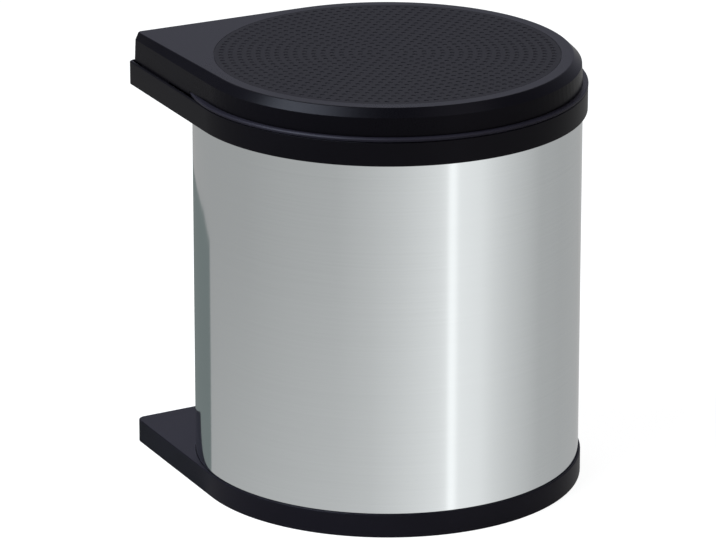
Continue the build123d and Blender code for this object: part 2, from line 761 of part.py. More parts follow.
# Handle: a wire bow folded down on the rim, with an eye at each end
eye_bore = handle_wire / 2 + running_gap
bow_start = bow_end_share * eye_bore / handle_radius
with BuildPart() as bucket_handle:
    with BuildLine(Plane.XY.offset(handle_height)) as bow:
        CenterArc((0, 0), handle_radius, 180 + degrees(bow_start), 180 - 2 * degrees(bow_start))
    with BuildSketch(Plane(origin=bow.line @ 0, z_dir=bow.line % 0)):
        Circle(handle_wire / 2)
    sweep()
    for side in (-1, 1):
        eye_low = handle_radius - handle_eye_width / 2
        with BuildSketch(Plane(origin=(side * eye_low, 0, 0), x_dir=(0, side, 0), z_dir=(side, 0, 0))):
            with Locations((0, handle_height)):
                Circle(handle_eye)
        extrude(amount=handle_eye_width)
        with BuildSketch(Plane(origin=(side * eye_low, 0, 0), x_dir=(0, side, 0), z_dir=(side, 0, 0))):
            with Locations((0, handle_height)):
                Circle(eye_bore)
        extrude(amount=handle_eye_width, mode=Mode.SUBTRACT)
bucket_handle.part.label = "bucket_handle"
export_step(bucket_handle.part, "parts/bucket_handle.step")

with BuildPart() as handle_grip:
    with BuildSketch(radial_plane(270 - grip_arc / 2)):
        with Locations((handle_radius, handle_height)):
            Circle(grip_radius)
            Circle(handle_wire / 2 + fixed_gap, mode=Mode.SUBTRACT)
    revolve(axis=Axis.Z, revolution_arc=grip_arc)
handle_grip.part.label = "handle_grip"
export_step(handle_grip.part, "parts/handle_grip.step")


# Lid side: shell, hinge block and its screws

def lid_solid(inset, roof):
    """The lid's form: a slightly tapered skirt and a bevel that fades out on the flats."""
    sections = [
        drop_face(lid_radius, lid_corner, lid_blend, lid_corner_low, inset),
        drop_face(lid_shoulder_radius, lid_shoulder_corner, lid_blend, lid_shoulder, inset),
        drop_face(lid_top_radius, lid_top_corner, lid_blend, lid_top - roof, inset),
    ]
    with BuildPart() as form:
        for low, high in zip(sections, sections[1:]):
            loft([low.face(), high.face()], ruled=True)
    return form.part


lid_outside = lid_solid(0.0, 0.0)
lid_inside = lid_solid(lid_wall, lid_roof)
rear_cut_top = hinge_height + hinge_clear
rear_cut_right = sqrt(lid_radius**2 - hinge_y**2) - lid_wall
with BuildPart() as lid_shell:
    add(lid_outside)
    add(lid_inside, mode=Mode.SUBTRACT)
    # The skirt steps up where it passes over the bucket's rim
    with BuildSketch(Plane.XY.offset(lid_corner_low)):
        Circle(rim_radius + lid_rim_gap)
    extrude(amount=lid_low - lid_corner_low, mode=Mode.SUBTRACT)
    # The rear skirt is open along the hinge
    with BuildSketch(Plane.XY.offset(lid_corner_low)):
        rectangle_between((-lid_corner + lid_blend, hinge_y - hinge_knuckle), (rear_cut_right, frame_radius))
    extrude(amount=rear_cut_top - lid_corner_low, mode=Mode.SUBTRACT)
    # Sunk round panel on top, stiffening ring underneath
    with BuildSketch(Plane.XY.offset(lid_top - lid_panel_depth)):
        Circle(lid_panel_radius)
    extrude(amount=lid_panel_depth, mode=Mode.SUBTRACT)
    with BuildSketch(Plane.XY.offset(lid_under - lid_ring_depth)):
        Circle(lid_ring_radius)
        Circle(lid_ring_radius - lid_ring_wall, mode=Mode.SUBTRACT)
    extrude(amount=lid_ring_depth)
    # Posts for the hinge block
    with BuildSketch(Plane.XY.offset(lid_under - block_post)):
        with Locations(*block_screws):
            Circle(block_post_radius)
    extrude(amount=block_post)
    with BuildSketch(Plane.XY.offset(lid_under - block_post)):
        with Locations(*block_screws):
            Circle(screw_radius + fixed_gap)
    extrude(amount=block_post, mode=Mode.SUBTRACT)
lid_shell.part.label = "lid_shell"
export_step(lid_shell.part, "parts/lid_shell.step")

# Hinge block: plate under the lid with two lugs on the hinge pin and the heel that the
# plunger lifts
lug_points = (
    (block_back + block_back_gap - lug_foot, block_top),
    (hinge_y + arm_gap, block_top),
    (hinge_y + ear_web, hinge_height),
    (hinge_y - ear_web, hinge_height),
)
heel_points = (
    (heel_y - heel_radius, block_top - block_thick / 2),
    (heel_y + heel_radius, block_top - block_thick / 2),
    (heel_y + heel_radius, heel_height),
    (heel_y - heel_radius, heel_height),
)
with BuildPart() as lid_hinge_block:
    with BuildSketch(Plane.XY.offset(block_low)):
        rectangle_between((lug_low, block_front), (block_right, block_back))
    extrude(amount=block_thick)
    for left in (lug_low, lug_high):
        extrude(knuckle_face(left, lug_points), amount=hinge_ear)
    with BuildSketch(Plane(origin=(plunger_x - heel_width / 2, 0, 0), x_dir=(0, 1, 0), z_dir=(1, 0, 0))):
        Polygon(*heel_points, align=None)
        with Locations((heel_y, heel_height)):
            Circle(heel_radius)
    extrude(amount=heel_width)
    with BuildSketch(Plane(origin=(lug_low, 0, 0), x_dir=(0, 1, 0), z_dir=(1, 0, 0))):
        with Locations((hinge_y, hinge_height)):
            Circle(hinge_pin_radius + running_gap)
    extrude(amount=block_right - lug_low, mode=Mode.SUBTRACT)
    with BuildSketch(Plane.XY.offset(block_low)):
        with Locations(*block_screws):
            Circle(screw_radius + running_gap)
    extrude(amount=block_thick, mode=Mode.SUBTRACT)
lid_hinge_block.part.label = "lid_hinge_block"
export_step(lid_hinge_block.part, "parts/lid_hinge_block.step")

with BuildPart() as block_screw_set:
    with Locations(*[(x, y, block_low) for x, y in block_screws]):
        Cylinder(screw_head, screw_head_height, align=(Align.CENTER, Align.CENTER, Align.MAX))
        Cylinder(screw_radius, block_thick + block_post - clearance,
                 align=(Align.CENTER, Align.CENTER, Align.MIN))
block_screw_set.part.label = "block_screws"
export_step(block_screw_set.part, "parts/block_screws.step")
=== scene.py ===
from math import cos, pi, radians, sin

import bmesh
import bpy
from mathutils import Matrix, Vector


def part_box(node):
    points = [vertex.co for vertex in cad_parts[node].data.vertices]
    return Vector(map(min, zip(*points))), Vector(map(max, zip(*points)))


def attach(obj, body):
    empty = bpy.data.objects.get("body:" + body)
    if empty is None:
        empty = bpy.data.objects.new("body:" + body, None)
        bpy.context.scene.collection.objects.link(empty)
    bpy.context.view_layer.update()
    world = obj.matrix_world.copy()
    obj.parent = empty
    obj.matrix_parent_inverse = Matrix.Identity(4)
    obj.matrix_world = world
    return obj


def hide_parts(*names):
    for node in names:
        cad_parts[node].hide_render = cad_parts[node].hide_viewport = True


bl_info = {
    "name": "Swing-out Waste Bin",
    "version": (1, 0, 0),
    "blender": (4, 5, 0),
    "location": "View3D > Sidebar > Waste Bin",
    "description": "Dresses the frame of a round swing-out waste bin: steel drum, dimpled lid, moulded base",
    "category": "Object",
}

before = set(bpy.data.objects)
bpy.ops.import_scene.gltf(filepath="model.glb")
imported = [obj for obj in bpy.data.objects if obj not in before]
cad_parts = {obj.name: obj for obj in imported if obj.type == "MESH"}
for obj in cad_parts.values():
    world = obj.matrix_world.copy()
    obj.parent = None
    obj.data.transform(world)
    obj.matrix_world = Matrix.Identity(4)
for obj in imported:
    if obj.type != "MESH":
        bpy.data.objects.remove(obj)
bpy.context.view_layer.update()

MM = 0.001
MERGE = 0.004 * MM


# Places read from the frame

drum_low, drum_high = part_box("steel_drum")
lid_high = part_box("lid_shell")[1]
DRUM_RADIUS = drum_high.x

# The drum's sheet and its rows of faces, then how near the top or foot of a moulding an edge has to
# be to be rounded, and how far outside the drum

DRUM_WALL = 0.8 * MM
DRUM_ROWS = 8
EDGE_BAND = 0.1 * MM
OUTER_MARGIN = 1.5 * MM

# The dimpled panel fills the round place sunk in the lid's top: its plate stands just under the lid's
# highest face, and its skirt reaches down to the sunk floor

PANEL_DROP = 0.03 * MM
PANEL_DEPTH = 0.5 * MM
PANEL_MARGIN = 1.02
PANEL_SIDES = 192
DIMPLE_SIDES = 12
DIMPLE_FLATTEN = 0.26
DIMPLE_WELD = 0.01 * MM
LID_CREASE = 12.0
PANEL_CREASE = 24.0


class Value:
    """A number in a shader: arithmetic on it adds Math nodes."""

    def __init__(self, finish, socket):
        self.finish = finish
        self.socket = socket

    def math(self, operation, first, second):
        return self.finish.node("ShaderNodeMath", {"operation": operation}, first, second)

    def __add__(self, other):
        return self.math("ADD", self, other)

    def __radd__(self, other):
        return self.math("ADD", other, self)

    def __rsub__(self, other):
        return self.math("SUBTRACT", other, self)

    def __mul__(self, other):
        return self.math("MULTIPLY", self, other)

    def __truediv__(self, other):
        return self.math("DIVIDE", self, other)

    def at_least(self, other):
        return self.math("MAXIMUM", self, other)


class Finish:
    """A material or world, and the nodes that make it."""

    def __init__(self, owner):
        owner.use_nodes = True
        self.tree = owner.node_tree
        self.tree.nodes.clear()

    def node(self, kind, settings, *inputs, output=0, **named):
        """Adds one node, sets what it is, then fills its inputs, and gives one output if it has any."""
        made = self.tree.nodes.new(kind)
        for name, setting in settings.items():
            setattr(made, name, setting)
        pairs = [*enumerate(inputs), *((name.replace("_", " "), item) for name, item in named.items())]
        for place, item in pairs:
            self.fill(made.inputs[place], item)
        return Value(self, made.outputs[output]) if made.outputs else None

    def fill(self, socket, item):
        if isinstance(item, Value):
            self.tree.links.new(item.socket, socket)
        elif item is not None:
            socket.default_value = item

    def ramp(self, factor, stops):
        """Colour ramp from (place, colour) stops."""
        made = self.tree.nodes.new("ShaderNodeValToRGB")
        marks = made.color_ramp.elements
        while len(marks) < len(stops):
            marks.new(0.5)
        for mark, (place, colour) in zip(marks, stops):
            mark.position = place
            mark.color = (*colour, 1.0)
        self.fill(made.inputs[0], factor)
        return Value(self, made.outputs[0])

    def noise(self, scale, detail=3.0, roughness=0.55, stretch=(1.0, 1.0, 1.0)):
        """Noise on the piece's own coordinates, 0 to 1 about 0.5."""
        place = self.node("ShaderNodeTexCoord", {}, output=3)
        spread = self.node("ShaderNodeMapping", {}, place, Scale=stretch)
        return self.node(
            "ShaderNodeTexNoise", {}, Vector=spread, Scale=scale, Detail=detail, Roughness=roughness
        )

    def blend(self, factor, first, second):
        """Mix of two colours."""
        unused = [None] * 5
        return self.node("ShaderNodeMix", {"data_type": "RGBA"}, factor, *unused, first, second, output=2)

    def ray(self, kind):
        """One output of the Light Path, by its name."""
        path = self.tree.nodes.new("ShaderNodeLightPath")
        return Value(self, path.outputs[kind])

    def seen(self):
        """1 for rays from the camera, straight or through something clear."""
        return self.ray("Is Camera Ray").at_least(self.ray("Is Transmission Ray"))

    def surface(self, shader):
        self.node("ShaderNodeOutputMaterial", {}, shader)


def rgba(colour):
    return (*colour, 1.0)


def lighter(colour, times):
    return [min(1.0, times * part) for part in colour]


# Tint of the plastics' highlights, and how strong they are by piece

GLINT = (0.93, 0.88, 1.0)
LID_SHEEN, PANEL_SHEEN, FRAME_SHEEN = 0.06, 0.08, 0.085
BASE_SHEEN, BUCKET_SHEEN, NYLON_SHEEN = 0.06, 0.1, 0.5

# Scale of the mouldings' grain, how much rougher frame and panel are than the lid, and how many
# times lighter than the lid the base and the bucket are; the base's lightening is painted light from the
# pale floor

GRAIN = 900.0
FRAME_ROUGHER = 0.07
PANEL_ROUGHER = 0.22
BASE_PAINTED_LIGHT_TIMES = 3.0
BUCKET_LIGHTER = 5.0


def make_plastic(name, colour, roughness, grain, grain_depth, sheen):
    """Moulded plastic: fine spark-eroded grain, faint cloudiness in gloss and colour."""
    material = bpy.data.materials.new(name)
    finish = Finish(material)
    cloud = finish.noise(9.0, 2.0)
    fine = finish.noise(grain, 2.0, 0.6)
    tone = finish.ramp(cloud, [(0.3, lighter(colour, 0.85)), (0.7, lighter(colour, 1.15))])
    gloss = roughness - 0.05 + cloud * 0.06 + fine * 0.05
    bump = finish.node("ShaderNodeBump", {}, Strength=0.25, Distance=grain_depth, Height=fine)
    finish.surface(finish.node(
        "ShaderNodeBsdfPrincipled", {}, Base_Color=tone, Roughness=gloss, Normal=bump,
        Specular_IOR_Level=sheen, Specular_Tint=rgba(GLINT),
    ))
    return material


def make_drum_steel(name, colour, roughness, anisotropy):
    """Stainless sheet with a fine finish rubbed round the drum, bright along its length."""
    material = bpy.data.materials.new(name)
    finish = Finish(material)
    lines = finish.noise(6.0, 4.0, 0.7, stretch=(1.0, 1.0, 420.0))
    cloud = finish.noise(5.0, 2.0)
    tone = finish.ramp(lines, [(0.25, lighter(colour, 0.965)), (0.75, lighter(colour, 1.025))])
    gloss = roughness - 0.03 + lines * 0.04 + cloud * 0.02
    bump = finish.node("ShaderNodeBump", {}, Strength=0.04, Distance=0.02 * MM, Height=lines)
    finish.surface(finish.node(
        "ShaderNodeBsdfPrincipled", {}, Base_Color=tone, Metallic=1.0, Roughness=gloss, Normal=bump,
        Anisotropic=anisotropy, Anisotropic_Rotation=0.25,
    ))
    return material


def make_metal(name, colour, roughness, metallic, grain):
    """Plated or coated steel with a slight mottle."""
    material = bpy.data.materials.new(name)
    finish = Finish(material)
    mottle = finish.noise(60.0, 3.0)
    fine = finish.noise(grain, 2.0)
    tone = finish.ramp(mottle, [(0.3, lighter(colour, 0.9)), (0.7, lighter(colour, 1.08))])
    gloss = roughness - 0.06 + mottle * 0.08 + fine * 0.05
    bump = finish.node("ShaderNodeBump", {}, Strength=0.2, Distance=0.03 * MM, Height=fine)
    finish.surface(finish.node(
        "ShaderNodeBsdfPrincipled", {}, Base_Color=tone, Metallic=metallic, Roughness=gloss, Normal=bump
    ))
    return material


def dress(piece, material):
    piece.data.materials.clear()
    piece.data.materials.append(material)


def new_object(name, mesh):
    piece = bpy.data.objects.new(name, mesh)
    bpy.context.scene.collection.objects.link(piece)
    return piece


def shape_object(name, shape):
    """Object from a bmesh, which is freed."""
    mesh = bpy.data.meshes.new(name)
    shape.to_mesh(mesh)
    shape.free()
    return new_object(name, mesh)


def bake_modifiers(piece):
    """Turns what the modifiers make into the piece's plain mesh."""
    seen = piece.evaluated_get(bpy.context.evaluated_depsgraph_get())
    mesh = bpy.data.meshes.new_from_object(seen)
    piece.modifiers.clear()
    piece.data = mesh
    return piece


FACE_WEIGHT = 80


def soften_normals(piece, crease=35.0):
    """Smooth shading that keeps flat faces flat beside narrow rounded edges."""
    for face in piece.data.polygons:
        face.use_smooth = True
    piece.data.set_sharp_from_angle(angle=radians(crease))
    weighted = piece.modifiers.new("weighted", "WEIGHTED_NORMAL")
    weighted.keep_sharp = True
    weighted.weight = FACE_WEIGHT
    return bake_modifiers(piece)


def merged_shape(node):
    """Bmesh copy of a CAD node, its loose triangles merged and its flat faces joined."""
    shape = bmesh.new()
    shape.from_mesh(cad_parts[node].data)
    bmesh.ops.remove_doubles(shape, verts=shape.verts, dist=MERGE)
    bmesh.ops.dissolve_limit(
        shape, angle_limit=radians(0.2), use_dissolve_boundaries=False, verts=shape.verts, edges=shape.edges
    )
    return shape


def round_edges(shape, width, wanted, segments=3, crease=25.0):
    """Rounds the sharp outer edges that pass the test."""
    picked = [
        edge for edge in shape.edges
        if len(edge.link_faces) == 2 and edge.calc_face_angle_signed(0.0) > radians(crease)
        and wanted((edge.verts[0].co + edge.verts[1].co) / 2)
    ]
    if picked:
        bmesh.ops.bevel(
            shape, geom=picked, offset=width, offset_type="OFFSET", segments=segments, profile=0.5,
            affect="EDGES", clamp_overlap=True,
        )


def from_axis(point):
    """Distance from the drum's upright axis."""
    return Vector((point.x, point.y)).length


def stand_for(piece, node, body):
    """Puts a piece in a CAD node's place, hiding the node, and on its body."""
    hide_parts(node)
    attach(piece, body)


class LidLooks(bpy.types.PropertyGroup):
    """Sizes and colours of the lid."""

    panel_radius: bpy.props.FloatProperty(
        name="Panel radius", description="Radius of the dimpled panel", default=128.7 * MM, unit="LENGTH")
    ring_step: bpy.props.FloatProperty(
        name="Ring step", description="Distance from one ring of dimples to the next",
        default=6.85 * MM, unit="LENGTH")
    ring_turn: bpy.props.FloatProperty(
        name="Ring turn", description="Direction in which every ring has a dimple", default=radians(-18.6),
        subtype="ANGLE")
    rings: bpy.props.IntProperty(name="Rings", description="Rings of dimples", default=18)
    dimple_radius: bpy.props.FloatProperty(
        name="Dimple radius", description="Radius of one dimple", default=2.0 * MM, unit="LENGTH")
    edge: bpy.props.FloatProperty(
        name="Edge rounding", description="Rounding of the lid's edges", default=0.7 * MM, unit="LENGTH")
    colour: bpy.props.FloatVectorProperty(
        name="Colour", description="Colour of the dark mouldings", default=(0.0034, 0.003, 0.0044),
        subtype="COLOR", size=3)
    roughness: bpy.props.FloatProperty(
        name="Roughness", description="Roughness of the dark mouldings", default=0.28, subtype="FACTOR")


class DrumLooks(bpy.types.PropertyGroup):
    """Sizes and colours of the drum."""

    steps: bpy.props.IntProperty(name="Steps", description="Steps round the drum", default=256)
    lip: bpy.props.FloatProperty(
        name="Lip", description="Rounding of the sheet's cut edges", default=0.3 * MM, unit="LENGTH")
    colour: bpy.props.FloatVectorProperty(
        name="Colour", description="Colour of the steel", default=(0.84, 0.877, 0.885), subtype="COLOR",
        size=3)
    roughness: bpy.props.FloatProperty(
        name="Roughness", description="Roughness of the steel", default=0.09, subtype="FACTOR")
    anisotropy: bpy.props.FloatProperty(
        name="Anisotropy", description="How far highlights stretch along the drum", default=0.3,
        subtype="FACTOR")


class StageLooks(bpy.types.PropertyGroup):
    """Camera and light."""

    azimuth: bpy.props.FloatProperty(
        name="Azimuth", description="Direction that the camera looks from", default=radians(-28.45),
        subtype="ANGLE")
    elevation: bpy.props.FloatProperty(
        name="Elevation", description="Height of the camera over the horizon", default=radians(18.32),
        subtype="ANGLE")
    distance: bpy.props.FloatProperty(
        name="Distance", description="From the drum's middle to the camera", default=3.9468, unit="LENGTH")
    lens: bpy.props.FloatProperty(
        name="Lens", description="Focal length in millimetres", default=265.19)
    target_height: bpy.props.FloatProperty(
        name="Target height", description="Height on the drum's axis that the view was fitted to",
        default=197.2 * MM, unit="LENGTH")
    aside: bpy.props.FloatProperty(
        name="Aside", description="How far left of the axis the camera aims", default=21.8 * MM,
        unit="LENGTH")
    below: bpy.props.FloatProperty(
        name="Below", description="How far below the target the camera aims", default=37.4 * MM,
        unit="LENGTH")
    ambient: bpy.props.FloatProperty(
        name="Ambient", description="Strength of the world's soft light", default=0.2)
    # The dark card is painted shade, seen only in the drum's reflections.
    shade_card_reach: bpy.props.FloatProperty(
        name="Flag reach", description="How far the dark card reaches from the drum", default=0.7,
        unit="LENGTH")
    floor: bpy.props.FloatProperty(
        name="Floor", description="Lightness of the floor", default=0.8, subtype="FACTOR")


class BIN_OT_drum(bpy.types.Operator):
    """Makes the steel drum as one fine tube with rounded cut edges"""

    bl_idname = "waste_bin.drum"
    bl_label = "Steel Drum"

    def execute(self, context):
        looks = context.scene.bin_drum
        outer, inner = DRUM_RADIUS, DRUM_RADIUS - DRUM_WALL
        low, high, lip = drum_low.z, drum_high.z, looks.lip
        outline = [
            (outer, low + lip), (outer, high - lip), (outer - lip, high), (inner + lip, high),
            (inner, high - lip), (inner, low + lip), (inner + lip, low), (outer - lip, low),
        ]
        side = [(outer, low + (high - low) * row / DRUM_ROWS) for row in range(1, DRUM_ROWS)]
        rows = [*outline[:1], *side, *outline[1:]]
        shape = bmesh.new()
        loops = []
        for turn in range(looks.steps):
            angle = 2 * pi * turn / looks.steps
            loops.append([shape.verts.new((r * cos(angle), r * sin(angle), z)) for r, z in rows])
        for this, following in zip(loops, loops[1:] + loops[:1]):
            for place in range(len(rows)):
                after = (place + 1) % len(rows)
                shape.faces.new((this[place], following[place], following[after], this[after]))
        bmesh.ops.recalc_face_normals(shape, faces=shape.faces)
        drum = soften_normals(shape_object("drum_sheet", shape), 50.0)
        dress(drum, make_drum_steel("drum_steel", looks.colour, looks.roughness, looks.anisotropy))
        stand_for(drum, "steel_drum", "bin")
        return {"FINISHED"}


def dimple_tree(looks):
    """Geometry nodes: a round plate with rings of dimples, six more in each ring."""
    tree = bpy.data.node_groups.new("dimpled_panel", "GeometryNodeTree")
    face = tree.interface
    inputs = {
        "Radius": ("NodeSocketFloat", looks.panel_radius),
        "Ring Step": ("NodeSocketFloat", looks.ring_step),
        "Rings": ("NodeSocketInt", looks.rings),
        "Dimple Radius": ("NodeSocketFloat", looks.dimple_radius),
        "Turn": ("NodeSocketFloat", looks.ring_turn),
        "Material": ("NodeSocketMaterial", None),
    }
    for name, (kind, start) in inputs.items():
        made = face.new_socket(name, in_out="INPUT", socket_type=kind)
        if start is not None:
            made.default_value = start
    face.new_socket("Geometry", in_out="OUTPUT", socket_type="NodeSocketGeometry")

    def node(kind, settings=None, output=0, **named):
        """Adds one node and fills its inputs: i0 is the first, Dimple_Radius the one of that name."""
        made = tree.nodes.new(kind)
        for name, setting in (settings or {}).items():
            setattr(made, name, setting)
        for name, item in named.items():
            place = int(name[1:]) if name[0] == "i" and name[1:].isdigit() else name.replace("_", " ")
            if isinstance(item, bpy.types.NodeSocket):
                tree.links.new(item, made.inputs[place])
            else:
                made.inputs[place].default_value = item
        return made.outputs[output]

    def math(operation, first, second=0.0):
        return node("ShaderNodeMath", {"operation": operation}, i0=first, i1=second)

    given = tree.nodes.new("NodeGroupInput").outputs
    # Ring k holds 6 k dimples, so dimple i is in the ring k where 3 k (k - 1) <= i
    index = node("GeometryNodeInputIndex")
    ring = math("FLOOR", math("MULTIPLY", math("ADD", math("SQRT", math(
        "ADD", math("MULTIPLY", math("ADD", index, 0.01), 4 / 3), 1.0)), 1.0), 0.5))
    first = math("MULTIPLY", math("MULTIPLY", ring, math("SUBTRACT", ring, 1.0)), 3.0)
    step = math("DIVIDE", math("MULTIPLY", math("SUBTRACT", index, first), pi / 3), ring)
    turn = math("ADD", step, given["Turn"])
    reach = math("MULTIPLY", ring, given["Ring Step"])
    place = node("ShaderNodeCombineXYZ", i0=math("MULTIPLY", reach, math("COSINE", turn)),
                 i1=math("MULTIPLY", reach, math("SINE", turn)), i2=0.0)
    count = math("MULTIPLY", math("MULTIPLY", given["Rings"], math("ADD", given["Rings"], 1.0)), 3.0)
    sites = node("GeometryNodePoints", Count=count, Position=place)
    # Flat plate with a round hole at each site
    hole = node("GeometryNodeCurvePrimitiveCircle", Resolution=DIMPLE_SIDES, Radius=given["Dimple Radius"])
    edge = node("GeometryNodeCurvePrimitiveCircle", Resolution=PANEL_SIDES, Radius=given["Radius"])
    holes = node("GeometryNodeRealizeInstances",
                 i0=node("GeometryNodeInstanceOnPoints", Points=sites, Instance=hole))
    join = tree.nodes.new("GeometryNodeJoinGeometry")
    tree.links.new(holes, join.inputs[0])
    tree.links.new(edge, join.inputs[0])
    plate = node("GeometryNodeFillCurve", Curve=join.outputs[0])
    # Dimples: the lower half of a flattened ball, its faces turned inwards
    ball = node(
        "GeometryNodeMeshUVSphere", Segments=DIMPLE_SIDES, Rings=DIMPLE_SIDES // 2,
        Radius=given["Dimple Radius"])
    height = node("ShaderNodeSeparateXYZ", output=2, i0=node("GeometryNodeInputPosition"))
    upper = node("FunctionNodeCompare", {"operation": "GREATER_THAN"}, i0=height, i1=MM / 1000)
    bowl = node("GeometryNodeDeleteGeometry", {"domain": "FACE"}, Geometry=ball, Selection=upper)
    flat = node("GeometryNodeTransform", Geometry=bowl, Scale=(1.0, 1.0, DIMPLE_FLATTEN))
    turned = node("GeometryNodeFlipFaces", Mesh=flat)
    bowls = node("GeometryNodeInstanceOnPoints", Points=sites, Instance=turned)
    whole = tree.nodes.new("GeometryNodeJoinGeometry")
    tree.links.new(node("GeometryNodeRealizeInstances", i0=bowls), whole.inputs[0])
    tree.links.new(plate, whole.inputs[0])
    welded = node("GeometryNodeMergeByDistance", Geometry=whole.outputs[0], Distance=DIMPLE_WELD)
    solid = node("GeometryNodeRealizeInstances", i0=welded)
    coloured = node("GeometryNodeSetMaterial", Geometry=solid, Material=given["Material"])
    out = tree.nodes.new("NodeGroupOutput")
    tree.links.new(coloured, out.inputs[0])
    return tree


def set_inputs(modifier, tree, values):
    """Sets a modifier's inputs by the identifiers of their sockets."""
    for item in tree.interface.items_tree:
        if item.item_type == "SOCKET" and item.in_out == "INPUT" and item.name in values:
            modifier[item.identifier] = values[item.name]


class BIN_OT_lid(bpy.types.Operator):
    """Makes the lid: the moulded shell with rounded edges and its dimpled panel"""

    bl_idname = "waste_bin.lid"
    bl_label = "Lid"

    def execute(self, context):
        looks = context.scene.bin_lid
        plastic = make_plastic("lid_plastic", looks.colour, looks.roughness, GRAIN, 0.01 * MM, LID_SHEEN)
        matt = make_plastic(
            "panel_plastic", looks.colour, looks.roughness + PANEL_ROUGHER, GRAIN, 0.02 * MM, PANEL_SHEEN)
        shape = merged_shape("lid_shell")
        outside = PANEL_MARGIN * looks.panel_radius
        round_edges(
            shape, looks.edge, lambda p: p.z > lid_high.z - EDGE_BAND and from_axis(p) > outside,
            crease=LID_CREASE)
        shell = soften_normals(shape_object("lid_moulding", shape), LID_CREASE)
        dress(shell, plastic)
        stand_for(shell, "lid_shell", "lid")
        tree = dimple_tree(looks)
        panel_piece = new_object("lid_dimpled_panel", bpy.data.meshes.new("lid_dimpled_panel"))
        made = panel_piece.modifiers.new("panel", "NODES")
        made.node_group = tree
        set_inputs(made, tree, {
            "Radius": looks.panel_radius, "Ring Step": looks.ring_step, "Rings": looks.rings,
            "Dimple Radius": looks.dimple_radius, "Turn": looks.ring_turn, "Material": matt,
        })
        bake_modifiers(panel_piece)
        finish_panel(panel_piece, matt)
        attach(panel_piece, "lid")
        return {"FINISHED"}


def finish_panel(piece, material):
    """Lifts the panel to its place on the lid, gives it a skirt and smooth dimples."""
    shape = bmesh.new()
    shape.from_mesh(piece.data)
    level = lid_high.z - PANEL_DROP
    rim = [edge for edge in shape.edges if edge.is_boundary]
    for vert in shape.verts:
        vert.co.z += level
    skirt = bmesh.ops.extrude_edge_only(shape, edges=rim)["geom"]
    for vert in (item for item in skirt if isinstance(item, bmesh.types.BMVert)):
        vert.co.z = lid_high.z - PANEL_DEPTH
    bmesh.ops.recalc_face_normals(shape, faces=shape.faces)
    shape.to_mesh(piece.data)
    shape.free()
    dress(piece, material)
    for face in piece.data.polygons:
        face.use_smooth = True
        face.material_index = 0
    piece.data.set_sharp_from_angle(angle=radians(PANEL_CREASE))


class BIN_OT_mouldings(bpy.types.Operator):
    """Makes the base and the upper frame with rounded outer edges"""

    bl_idname = "waste_bin.mouldings"
    bl_label = "Base and Frame"

    def execute(self, context):
        looks = context.scene.bin_lid
        rough = looks.roughness + FRAME_ROUGHER
        plastic = make_plastic("housing_plastic", looks.colour, rough, GRAIN, 0.02 * MM, FRAME_SHEEN)
        # The base's lighter colour is painted light: it stands in for the light that the pale floor throws
        # on the base.
        painted_lit_base_plastic = make_plastic(
            "base_plastic_painted_light", lighter(looks.colour, BASE_PAINTED_LIGHT_TIMES), rough, GRAIN, 0.02 * MM, BASE_SHEEN)
        self.make_moulding("upper_frame", "frame_moulding", plastic, looks.edge)
        self.make_moulding("base_frame", "base_moulding", painted_lit_base_plastic, looks.edge)
        for node in ("hinge_bridge", "lid_hinge_block"):
            dress(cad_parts[node], plastic)
        return {"FINISHED"}

    def make_moulding(self, node, name, material, edge):
        """One moulding, with the edges of its top and foot rounded outside the drum."""
        low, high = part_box(node)
        shape = merged_shape(node)
        round_edges(
            shape, edge,
            lambda p: (p.z < low.z + EDGE_BAND or p.z > high.z - EDGE_BAND)
            and from_axis(p) > DRUM_RADIUS + OUTER_MARGIN)
        piece = soften_normals(shape_object(name, shape))
        dress(piece, material)
        stand_for(piece, node, "bin")


class BIN_OT_bucket(bpy.types.Operator):
    """Makes the inner bucket and finishes its handle"""

    bl_idname = "waste_bin.bucket"
    bl_label = "Bucket"

    def execute(self, context):
        looks = context.scene.bin_lid
        plastic = make_plastic(
            "bucket_plastic", lighter(looks.colour, BUCKET_LIGHTER), 0.4, 500.0, 0.03 * MM, BUCKET_SHEEN)
        shape = merged_shape("inner_bucket")
        piece = soften_normals(shape_object("bucket_moulding", shape))
        dress(piece, plastic)
        stand_for(piece, "inner_bucket", "bin")
        dress(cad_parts["handle_grip"], plastic)
        return {"FINISHED"}


class BIN_OT_fixings(bpy.types.Operator):
    """Finishes the bracket, arms, pins, screws and nylon pieces"""

    bl_idname = "waste_bin.fixings"
    bl_label = "Bracket and Fixings"

    def execute(self, context):
        coated = make_metal("bracket_coat", (0.05, 0.05, 0.055), 0.45, 0.0, 700.0)
        zinc = make_metal("zinc_steel", (0.6, 0.6, 0.61), 0.3, 1.0, 400.0)
        nylon = make_plastic("nylon", (0.62, 0.6, 0.55), 0.4, 700.0, 0.02 * MM, NYLON_SHEEN)
        for node in ("wall_bracket", "top_arm", "bottom_arm"):
            dress(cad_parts[node], coated)
        for node in ("arm_rivets", "top_pivot_pin", "bottom_pivot_pin", "drum_screws", "bridge_screws",
                     "block_screws", "lid_hinge_pin", "bucket_handle"):
            dress(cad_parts[node], zinc)
        for node in ("lift_cam", "thrust_washer", "top_pivot_bush", "bottom_pivot_bush", "lift_plunger"):
            dress(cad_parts[node], nylon)
        return {"FINISHED"}


# Soft lights: name, degrees to the camera's right, elevation, distance, width, height, watts, colour
SOFTBOXES = (
    ("fill_box", 60.0, 55.0, 2.6, 1.4, 1.4, 8.0, (1.0, 1.0, 1.0)),
    ("left_box", -63.0, 58.0, 2.4, 1.9, 0.7, 72.0, (0.8, 0.92, 1.0)),
    ("back_box", 180.0, 45.0, 2.4, 1.6, 0.8, 6.0, (1.0, 1.0, 1.0)),
)
LIT_HEIGHT = 0.18


